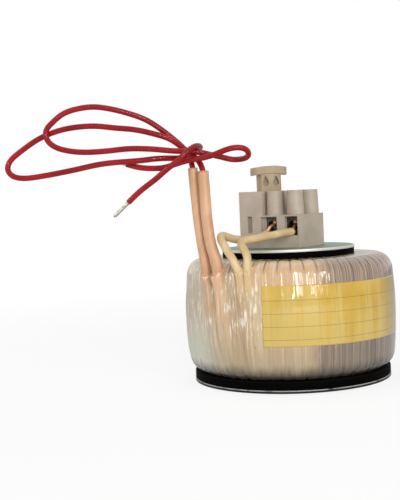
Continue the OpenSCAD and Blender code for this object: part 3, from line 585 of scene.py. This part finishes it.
def clamp(x, low=0.0, high=1.0):
    """A value held between two limits."""
    return x.make("ShaderNodeClamp", {}, {"Value": x, "Min": low, "Max": high})


def step_up(x, low, high):
    """0 below low, 1 above high and a smooth rise between."""
    return x.make("ShaderNodeMapRange", {"interpolation_type": "SMOOTHSTEP"},
                  {"Value": x, "From Min": low, "From Max": high, "To Min": 0.0, "To Max": 1.0})


def blend(mask, a, b):
    """Colour a where the mask is 0 and colour b where it is 1."""
    return mask.make("ShaderNodeMix", {"data_type": "RGBA"}, {0: mask, 6: a, 7: b}, out=2)


def noise(x, where, scale, detail=2.0, roughness=0.5):
    """Soft random patches; a larger scale makes them smaller."""
    return x.make("ShaderNodeTexNoise", {}, {"Vector": where, "Scale": scale, "Detail": detail,
                                             "Roughness": roughness})


def srgb(red, green, blue):
    """A colour as it looks, from 0 to 255, as the linear numbers a shader needs."""
    return tuple(c / 3294.6 if c <= 10 else ((c / 255 + 0.055) / 1.055) ** 2.4 for c in (red, green, blue))


print("orange is", [round(c, 2) for c in srgb(255, 128, 0)])


# %% A new material
def new_material(name, **sockets):
    """A material with one Principled shader; returns it with the start of its maths and the shader."""
    material = bpy.data.materials.new(name)
    material.use_nodes = True
    tree = material.node_tree
    shader = tree.nodes["Principled BSDF"]
    for key, value in sockets.items():
        shader.inputs[key.replace("_", " ").title().replace("Ior", "IOR")].default_value = value
    return material, Wire(tree), shader


def plug(wire, shader, name):
    """Links a value to one of the shader's sockets."""
    wire.tree.links.new(wire.socket, shader.inputs[name])


def places(start):
    """Object coordinates in millimetres: the part's own frame."""
    return start.make("ShaderNodeTexCoord", out=3) * 1000.0


def parts(v):
    """The three numbers of a vector."""
    return [v.make("ShaderNodeSeparateXYZ", {}, {0: v}, out=i) for i in range(3)]


def sine(x):
    return x.make("ShaderNodeMath", {"operation": "SINE"}, {0: x})


def size_of(x):
    """A value without its sign."""
    return x.make("ShaderNodeMath", {"operation": "ABSOLUTE"}, {0: x})


def from_axis(where):
    """How far a place is from the ring's axis."""
    x, y = parts(where)[:2]
    return (x * x + y * y) ** 0.5


def bearing_of(where):
    """The angle round the ring's axis."""
    x, y = parts(where)[:2]
    return where.make("ShaderNodeMath", {"operation": "ARCTAN2"}, {0: y, 1: x})


def heading_of(where):
    """The level direction from the ring's axis, one unit long."""
    return where.make("ShaderNodeVectorMath", {"operation": "NORMALIZE"}, {0: where * (1.0, 1.0, 0.0)})


def bump(height, distance_mm, strength=1.0):
    """A normal bent by a height, for fine relief."""
    return height.make("ShaderNodeBump", {}, {"Strength": strength, "Distance": distance_mm * MM,
                                              "Height": height})


def paint(obj, material):
    """Gives an object one material."""
    obj.data.materials.clear()
    obj.data.materials.append(material)
    for face in getattr(obj.data, "polygons", []):
        face.material_index = 0


print("material helpers ready")

# %% [markdown]
# ## Red insulation and sleeves
# The leads' PVC is deep red and glossy. The sleeves are soft, slightly waxy tubes: a little
# subsurface light keeps their shadow side warm. A slow noise along them shifts the colour a touch.

# %% Lead materials
material, start, shader = new_material("red_insulation", roughness=0.4, specular_ior_level=0.1,
                                       coat_weight=0.3, coat_roughness=0.12)
where = places(start)
cloud = noise(start, where, 0.12)
plug(blend(step_up(cloud, 0.35, 0.7), srgb(132, 12, 20), srgb(156, 18, 28)), shader, "Base Color")
plug(bump(noise(start, where, 0.9, 3.0), 0.12, 0.35), shader, "Normal")
for obj in (red_a, red_b):
    paint(obj, material)


def sleeve_material(name, dull, light, gloss, subsurface):
    """A soft, slightly waxy tube's finish."""
    material, start, shader = new_material(name, roughness=gloss, subsurface_weight=subsurface,
                                           subsurface_scale=0.0012)
    where = places(start)
    cloud = noise(start, where * (1.0, 1.0, 0.35), 0.22, 3.0)
    plug(blend(step_up(cloud, 0.3, 0.72), dull, light), shader, "Base Color")
    plug(bump(noise(start, where * (1.0, 1.0, 0.2), 1.4, 3.0), 0.15, 0.4), shader, "Normal")
    return material


salmon = sleeve_material("salmon_sleeve", srgb(194, 148, 111), srgb(212, 169, 131), 0.42, 0.15)
cream = sleeve_material("cream_sleeve", srgb(199, 171, 125), srgb(215, 191, 146), 0.38, 0.12)
for obj in (left_sleeve, right_sleeve):
    paint(obj, salmon)
for obj in (left_primary, right_primary):
    paint(obj, cream)
print("leads painted")

# %% [markdown]
# ## Metals
# Bare copper and tinned strands are metals with fine scratches along them. The zinc-plated disc is
# paler and greener, dulled by fingers: its roughness varies in soft patches.

# %% Metal materials
copper, start, shader = new_material("bare_copper", metallic=0.75, roughness=0.35)
where = places(start)
plug(blend(noise(start, where, 0.9), srgb(226, 150, 104), srgb(246, 188, 142)), shader, "Base Color")
plug(bump(noise(start, where, 3.0, 2.0), 0.05, 0.4), shader, "Normal")
for obj in (left_conductor, right_conductor):
    paint(obj, copper)

tin, start, shader = new_material("tinned_copper", metallic=1.0)
where = places(start)
patch = noise(start, where, 1.1, 3.0)
plug(blend(step_up(patch, 0.4, 0.66), srgb(168, 166, 160), srgb(206, 202, 192)), shader, "Base Color")
plug(0.22 + patch * 0.3, shader, "Roughness")
for obj in (tin_a, tin_b):
    paint(obj, tin)

DISC_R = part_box("top_steel_disc")[1][0] / MM
zinc, start, shader = new_material("zinc_plated_steel", metallic=0.5)
where = places(start)
patch = noise(start, where, 0.11, 4.0, 0.6)
grain = noise(start, where * (0.2, 1.0, 1.0), 3.0, 2.0)
colour = blend(step_up(patch, 0.35, 0.7), srgb(107, 124, 112), srgb(130, 144, 131))
colour = blend(step_up(grain, 0.62, 0.8), colour, srgb(92, 104, 96))
# The rim is blended to near white: partly the bare sheared steel of the edge, partly a painted highlight.
rim = step_up(from_axis(where), DISC_R - 0.5, DISC_R - 0.2)
plug(blend(rim * 0.8, colour, srgb(226, 226, 214)), shader, "Base Color")
plug(0.36 + patch * 0.28, shader, "Roughness")
plug(bump(grain, 0.02, 0.3), shader, "Normal")
paint(top_disc, zinc)

# The disc is black; a thin light line round its rim at this height, broken by noise, is a painted highlight.
RIM_HIGHLIGHT_Z = 0.98
black_coat, start, shader = new_material("black_coated_steel", specular_ior_level=0.3)
where = places(start)
patch = noise(start, where, 0.25, 4.0)
rim = step_up(from_axis(where), 37.35, 37.5)
band = step_up(size_of(parts(where)[2] - RIM_HIGHLIGHT_Z), 0.24, 0.1)
rim_highlight = clamp(rim * band * step_up(patch, 0.3, 0.5))
colour = blend(step_up(patch, 0.5, 0.75), srgb(14, 13, 13), srgb(30, 28, 27))
plug(blend(rim_highlight * 0.85, colour, srgb(170, 168, 162)), shader, "Base Color")
plug(0.32 + patch * 0.25, shader, "Roughness")
paint(bottom_disc, black_coat)


def patchy_metal(name, metallic, patches, dull, bright, smoothest, spread):
    """A metal whose colour and roughness vary together. patches is the noise's scale and detail."""
    material, start, shader = new_material(name, metallic=metallic)
    patch = noise(start, places(start), *patches)
    plug(blend(patch, dull, bright), shader, "Base Color")
    plug(smoothest + patch * spread, shader, "Roughness")
    return material


bright_steel = patchy_metal("fastener_steel", 1.0, (0.5, 4.0), srgb(150, 152, 150), srgb(206, 208, 204),
                            0.22, 0.25)
contact_brass = patchy_metal("contact_brass", 1.0, (0.6, 4.0), srgb(150, 112, 62), srgb(206, 170, 106),
                             0.25, 0.25)
passivated = patchy_metal("passivated_screws", 0.8, (0.8, 4.0), srgb(150, 112, 80), srgb(204, 164, 124),
                          0.3, 0.25)
# The clamps' plating gets a far darker colour than the metal has: painted shade of the deep mouths they sit
# in.
plated = patchy_metal("plated_clamp", 0.9, (0.6, 4.0), srgb(52, 46, 42), srgb(96, 88, 80), 0.35, 0.25)
nickel = patchy_metal("nickel_plate", 1.0, (0.7, 3.0), srgb(168, 166, 158), srgb(220, 218, 210), 0.16, 0.16)
print("metals ready")

# %% [markdown]
# ## Rubber
# The insulating washers are plain black rubber. Faces that look up turn brown-grey, through a mask from
# the normal's height: partly dust settled there, partly painted light from above.

# %% Rubber material
black_rubber, start, shader = new_material("black_rubber", specular_ior_level=0.02)
where = places(start)
face_up = parts(start.make("ShaderNodeNewGeometry", out=1))[2]
specks = noise(start, where, 1.6, 4.0, 0.65)
# Brown-grey on upward faces: dust, and painted light from above.
dust_and_top_light = clamp(step_up(face_up, 0.3, 0.95) * step_up(specks, 0.3, 0.75))
plug(blend(dust_and_top_light * 0.45, srgb(4, 3, 3), srgb(50, 46, 41)), shader, "Base Color")
plug(0.5 + specks * 0.3, shader, "Roughness")
plug(bump(specks, 0.08, 0.4), shader, "Normal")
for obj in (top_rubber, bottom_rubber):
    paint(obj, black_rubber)
print("rubber ready")

# %% [markdown]
# ## Moulded plastic
# The terminal block is a satin grey-beige moulding. Its corners aren't sharp: a Bevel node bends
# the normal near each edge, so that a thin highlight runs along it without any new geometry. That
# keeps the CAD node's own mesh, which is already right.


# %% Moulding materials
def moulding(name, dull, light, painted_shade=None):
    """A satin moulding in two close shades, with specks, and with painted shade where a mask is given."""
    material, start, shader = new_material(name, roughness=0.48, subsurface_weight=0.06,
                                           subsurface_scale=0.0008)
    where = places(start)
    cloud = noise(start, where, 0.13, 3.0)
    speck = noise(start, where, 2.4, 4.0, 0.6)
    colour = blend(step_up(cloud, 0.3, 0.72), dull, light)
    colour = blend(step_up(speck, 0.66, 0.82) * 0.35, colour, tuple(c * 0.6 for c in dull))
    if painted_shade:
        # The mask darkens the colour: painted shade.
        colour = blend(painted_shade(where), colour, tuple(c * 0.42 for c in dull))
    plug(colour, shader, "Base Color")
    plug(0.42 + speck * 0.18, shader, "Roughness")
    rounded = start.make("ShaderNodeBevel", {"samples": 6}, {"Radius": 0.28 * MM})
    height = noise(start, where, 3.2, 2.0)
    plug(start.make("ShaderNodeBump", {}, {"Strength": 0.25, "Distance": 0.04 * MM, "Height": height,
                                           "Normal": rounded}), shader, "Normal")
    return material


DENT_Z, DENT_HALF, DENT_APART = 74.6, 1.3, 4.1
FUSE_X, FUSE_Y = (sum(c) / 2 / MM for c in list(zip(*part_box("fuse_glass")))[:2])
print("fuse axis at", round(FUSE_X, 2), round(FUSE_Y, 2))


def dent_shade(where):
    """Painted shade in the four drop-shaped finger dents of the fuse carrier's neck, turned by 45 degrees."""
    x, y, z = parts(where - (FUSE_X, FUSE_Y, 0.0))
    across_neck = (x + y) * math.sqrt(0.5)
    width = DENT_HALF - 0.38 * clamp(z - DENT_Z, 0.0, 3.1)
    below = clamp(DENT_Z - z, 0.0, 3.0)
    mask = 0.0
    for middle in (-DENT_APART / 2, DENT_APART / 2):
        off = size_of(across_neck - middle)
        mask = mask + step_up(width - (off * off + below * below) ** 0.5, -0.1, 0.3)
    return clamp(mask * step_up(z, 77.9, 77.4)) * (step_up(z, 73.8, 76.4) * 0.4 + 0.35)


beige = moulding("beige_moulding", srgb(169, 155, 137), srgb(185, 172, 155))
tan = moulding("tan_moulding", srgb(160, 139, 110), srgb(176, 156, 127), dent_shade)
glass, start, shader = new_material("clear_glass", roughness=0.02, transmission_weight=1.0, ior=1.5)
plug(blend(noise(start, places(start), 0.5), (0.93, 0.97, 0.96), (1.0, 1.0, 1.0)), shader, "Base Color")

steel_strip, start, shader = new_material("wound_strip", metallic=1.0, roughness=0.4)
turns = sine(from_axis(places(start)) * 20.0) * 0.5 + 0.5
plug(blend(turns, srgb(108, 110, 112), srgb(150, 152, 154)), shader, "Base Color")

varnish, start, shader = new_material("enamelled_copper", metallic=0.6, roughness=0.35)
strands = sine(bearing_of(places(start)) * 300.0) * 0.5 + 0.5
plug(blend(strands, srgb(120, 62, 34), srgb(204, 122, 76)), shader, "Base Color")

wrap, start, shader = new_material("polyester_wrap", roughness=0.3)
plug(blend(noise(start, places(start), 0.2), srgb(220, 206, 150), srgb(238, 226, 178)), shader, "Base Color")

for name, finish in {
        "terminal_housing": beige, "fuse_carrier": tan, "fuse_glass": glass, "fuse_caps": nickel,
        "fuse_wire": nickel, "live_supply_clamp": plated, "live_fuse_clamp": plated, "neutral_clamp": plated,
        "lower_fuse_contact": contact_brass, "upper_fuse_contact": contact_brass, "clamp_screws": passivated,
        "centre_bolt": bright_steel, "centre_nut": bright_steel, "nut_washer": bright_steel,
        "core": steel_strip, "core_insulation": wrap, "primary_winding": varnish,
        "inter_winding_insulation": wrap, "secondary_winding": varnish}.items():
    paint(nodes[name], finish)
print("CAD nodes painted")

# %% [markdown]
# ## Film over windings
# Through the clear film the enamelled wires of the winding show as fine stripes that run up the side
# and over the shoulder. Where more film and tape lie over them, beside the leads, they fade into a
# milky peach. The stripes are noise on a direction: the place divided by its distance from the axis,
# so that every stripe keeps its angle from the side to the hole, with no seam.

# %% Film material
film_finish, start, shader = new_material("winding_film", roughness=0.4, specular_ior_level=0.25,
                                          coat_weight=1.0, coat_roughness=0.04)
where = places(start)
heading = heading_of(where)
z, bearing = parts(where)[2], bearing_of(where)
WRAP_R = 40.0


def streaks(fineness, along, detail=2.0):
    """Noise that is fine round the ring and stretched up the side, in the material at hand."""
    return noise(start, heading * WRAP_R + where * (0.0, 0.0, along), fineness, detail)


def cosine(degrees):
    return math.cos(math.radians(degrees))


def facing(heading, degrees):
    """Cosine of the angle from a direction round the ring."""
    hx, hy = parts(heading)[:2]
    return hx * cosine(degrees) + hy * math.sin(math.radians(degrees))


def sector(middle, half, soft):
    """1 within half degrees of a direction round the ring, with an edge soft degrees wide."""
    return step_up(facing(heading, middle), cosine(half + soft), cosine(half))


wires = streaks(1.9, 0.012, 3.0)
hairs = streaks(3.0, 0.02, 2.0)
bundles = streaks(0.22, 0.02, 2.0)
winding = blend(step_up(wires, 0.36, 0.66), srgb(170, 147, 120), srgb(102, 84, 78))
winding = blend(step_up(wires, 0.46, 0.3) * 0.4, winding, srgb(186, 167, 140))
winding = blend(step_up(hairs, 0.55, 0.75) * 0.5, winding, srgb(72, 60, 58))
winding = blend(step_up(bundles, 0.5, 0.72) * 0.4, winding, srgb(136, 106, 96))
# Darker toward the bottom: painted shade by the bottom rubber.
winding = blend(step_up(z, 24.0, 12.0) * 0.45, winding, srgb(112, 106, 96))

milk = blend(step_up(bundles, 0.3, 0.7), srgb(178, 150, 114), srgb(196, 174, 138))
milk = blend(step_up(wires, 0.52, 0.74) * 0.5, milk, srgb(156, 120, 90))
milk = blend(step_up(wires, 0.42, 0.28) * 0.6, milk, srgb(218, 200, 170))
# The milky film too is darker toward the bottom: painted shade.
milk = blend(step_up(z, 22.0, 9.0) * 0.45, milk, srgb(150, 140, 116))
folds = streaks(1.6, 0.11, 3.0)
beside_leads = sector(-100.0, 26, 14) * step_up(z, 14.0, 26.0)
# Beside the leads, thin pale streaks are painted highlights on the film's folds, and darker streaks beside
# them painted shade.
milk = blend(step_up(folds, 0.54, 0.64) * beside_leads * 0.8, milk, srgb(240, 229, 212))
milk = blend(step_up(folds, 0.42, 0.3) * beside_leads * 0.5, milk, srgb(170, 128, 98))
ragged = (streaks(0.35, 0.25, 4.0) - 0.5) * 0.16
covered = step_up(facing(heading, -118.0) + ragged, cosine(73), cosine(68))
peach_top = sector(-66.0, 16, 14) * step_up(z, 36.0, 40.0)
# A pale bluish sheen on the far left side, strongest low down, is a painted reflection of the sky.
sky_reflection = sector(-142.0, 14, 34) * (step_up(z + streaks(0.35, 0.03) * 14.0, 38.0, 20.0) * 0.6 + 0.32)
# Darker at the top edge by the top rubber: painted shade.
winding = blend(step_up(z, 43.5, 46.5) * 0.35, winding, srgb(96, 84, 76))
colour = blend(covered, winding, milk)
colour = blend(peach_top * 0.6, colour, srgb(204, 164, 120))
colour = blend(sky_reflection * 0.85, colour, srgb(200, 204, 188))
under_leads = [(2.6, 22.0, srgb(204, 157, 120)), (3.0, 20.0, srgb(213, 168, 132)),
               (1.8, 30.0, srgb(206, 176, 124)), (1.8, 31.0, srgb(206, 176, 124))]
for lead, (half, low, tint) in zip(EXITS, under_leads):
    rising = step_up(z, low, low + 10.0) * 0.55 + step_up(z, 36.0, 40.0) * 0.4
    colour = blend(sector(math.degrees(lead), half * 0.5, half * 0.9) * rising, colour, tint)
crease = step_up(size_of(sine(bearing * (FOLDS / 2) + sine(bearing * 3.0) * 0.55)), 0.3, 0.02)
# The backs of the shoulder's puckers are lightened, a painted highlight, and the creases between them
# darkened, painted shade.
colour = blend((1.0 - crease) * step_up(z, 43.0, 46.0) * 0.14, colour, srgb(216, 194, 172))
colour = blend(crease * step_up(z, 41.5, 45.5) * 0.8, colour, srgb(78, 58, 48))
# Darker toward the film's foot by the bottom rubber, with a ragged edge: painted shade.
foot_shade = step_up(z + streaks(0.5, 0.3) * 4.0, 13.0, 7.5)
colour = blend(clamp(foot_shade) * 0.92, colour, srgb(58, 54, 48))
SPECKS, SPECK_R = ((-79.3, 26.4), (-78.8, 16.9)), 40.2
for angle, height in SPECKS:
    a = math.radians(angle)
    speck = (SPECK_R * math.cos(a), SPECK_R * math.sin(a), height)
    away = where.make("ShaderNodeVectorMath", {"operation": "DISTANCE"}, {0: where, 1: speck}, out=1)
    colour = blend(step_up(away, 0.5, 0.25), colour, srgb(30, 24, 22))
plug(colour, shader, "Base Color")
crinkle = streaks(0.9, 0.05, 4.0) + folds * beside_leads * 1.6
plug(bump(crinkle, 0.4, 0.26), shader, "Normal")
paint(film, film_finish)
print("film painted")

# %% [markdown]
# ## Blank label
# The label's print is left off: it is plain yellow paper with thin ruled lines, under the same
# glossy film.

# %% Label material
label_finish, start, shader = new_material("yellow_label", roughness=0.45, specular_ior_level=0.25,
                                           coat_weight=1.0, coat_roughness=0.04)
where = places(start)
heading, z = heading_of(where), parts(where)[2]
RIGHT_END = math.degrees(0.44)
paper = noise(start, where, 0.09, 3.0)
colour = blend(step_up(paper, 0.3, 0.7), srgb(190, 152, 41), srgb(200, 162, 57))
fade = streaks(0.35, 0.03, 3.0)
colour = blend(step_up(fade + z * -0.012, 0.02, 0.32) * 0.5, colour, srgb(206, 187, 114))
# The label is darkened toward its right end: painted shade.
right_end_shade = step_up(facing(heading, RIGHT_END), math.cos(0.6), math.cos(0.2))
colour = blend(right_end_shade * 0.7, colour, srgb(150, 132, 86))
LINE_HALF = 0.16
lines = 0.0
for height in (33.2, 28.6, 24.0, 19.4):
    lines = lines + step_up(size_of(z - height), LINE_HALF, LINE_HALF * 0.4)
colour = blend(clamp(lines) * 0.55, colour, srgb(120, 96, 52))
plug(colour, shader, "Base Color")
crinkle = streaks(0.9, 0.05, 4.0)
plug(bump(crinkle, 0.4, 0.2), shader, "Normal")
paint(label, label_finish)
print("label painted")

# %% [markdown]
# ## Studio
# A white floor and a grey sky give soft, even light, and one large lamp from above adds the shadow.
# Tall, narrow lamps stand in front like window panes, because the glossy film needs something
# bright and thin to mirror: without them it would look dull. Camera, glossy and transmission rays
# see a plain white world. To the camera the floor glows white as well, but near the ring about a
# sixth of its own shaded surface is left, which shows as a faint shadow.

# %% Floor, world and lamps
floor_mesh = bpy.data.meshes.new("floor")
corners = [(-4, -4, -0.0004), (4, -4, -0.0004), (4, 4, -0.0004), (-4, 4, -0.0004)]
floor_mesh.from_pydata(corners, [], [(0, 1, 2, 3)])
floor = bpy.data.objects.new("floor", floor_mesh)
bpy.context.scene.collection.objects.link(floor)
material, start, shader = new_material("floor_white", roughness=0.9, specular_ior_level=0.0)
plug(blend(noise(start, places(start), 0.002), (0.9, 0.9, 0.9), (0.92, 0.92, 0.92)), shader, "Base Color")
seen = start.make("ShaderNodeLightPath")
away = start.make("ShaderNodeVectorMath", {"operation": "LENGTH"}, {0: places(start)}, out=1)
glow = start.make("ShaderNodeEmission", {}, {"Color": (1, 1, 1), "Strength": 1.0})
surface = Wire(start.tree, shader.outputs[0])
shadow_left = 0.16
white = (1 - shadow_left) + step_up(away, 110.0, 420.0) * shadow_left
mixed = start.make("ShaderNodeMixShader", {}, {0: seen * white, 1: surface, 2: glow})
start.tree.links.new(mixed.socket, start.tree.nodes["Material Output"].inputs["Surface"])
floor.data.materials.append(material)

world = bpy.data.worlds.new("studio")
bpy.context.scene.world = world
world.use_nodes = True
sky = Wire(world.node_tree)
path = [sky.make("ShaderNodeLightPath", out=i) for i in (0, 3, 6)]
direct = clamp(path[0] + path[1] + path[2])
background = world.node_tree.nodes["Background"]
world.node_tree.links.new(blend(direct, (0.42, 0.42, 0.43), (1, 1, 1)).socket, background.inputs["Color"])
background.inputs["Strength"].default_value = 1.0


def soft_box(name, place, target, size, power):
    """A rectangular lamp at a place given across, away and up from the camera's side."""
    lamp = bpy.data.lights.new(name, "AREA")
    lamp.shape = "RECTANGLE"
    lamp.size, lamp.size_y = size
    lamp.energy = power
    obj = bpy.data.objects.new(name, lamp)
    bpy.context.scene.collection.objects.link(obj)
    obj.location = rotated(place)
    aim = rotated(target) - obj.location
    obj.rotation_mode = "QUATERNION"
    obj.rotation_quaternion = aim.to_track_quat("-Z", "Y")


RING_Z = 0.03


def ahead_of(bearing, height, distance):
    """A place at a bearing to the right of the camera, a height angle and a distance from the ring."""
    b, h = math.radians(bearing), math.radians(height)
    return (distance * math.sin(b) * math.cos(h), -distance * math.cos(b) * math.cos(h),
            RING_Z + distance * math.sin(h))


for name, bearing, height, distance, size, power in (
        ("window_left", 6, 17, 0.7, (0.036, 0.4), 1.4),
        ("window_middle", 25, 17, 0.7, (0.03, 0.4), 0.95),
        ("window_right", 37, 17, 0.7, (0.018, 0.4), 0.6),
        ("side_window", -66, 20, 0.75, (0.03, 0.45), 0.95),
        ("side_box", -110, 40, 0.8, (0.4, 0.5), 0.6)):
    soft_box(name, ahead_of(bearing, height, distance), (0, 0, RING_Z), size, power)
soft_box("top_box", (0.0, 0.1, 0.8), (0, 0, 0.04), (0.5, 0.5), 0.75)
print("studio ready")
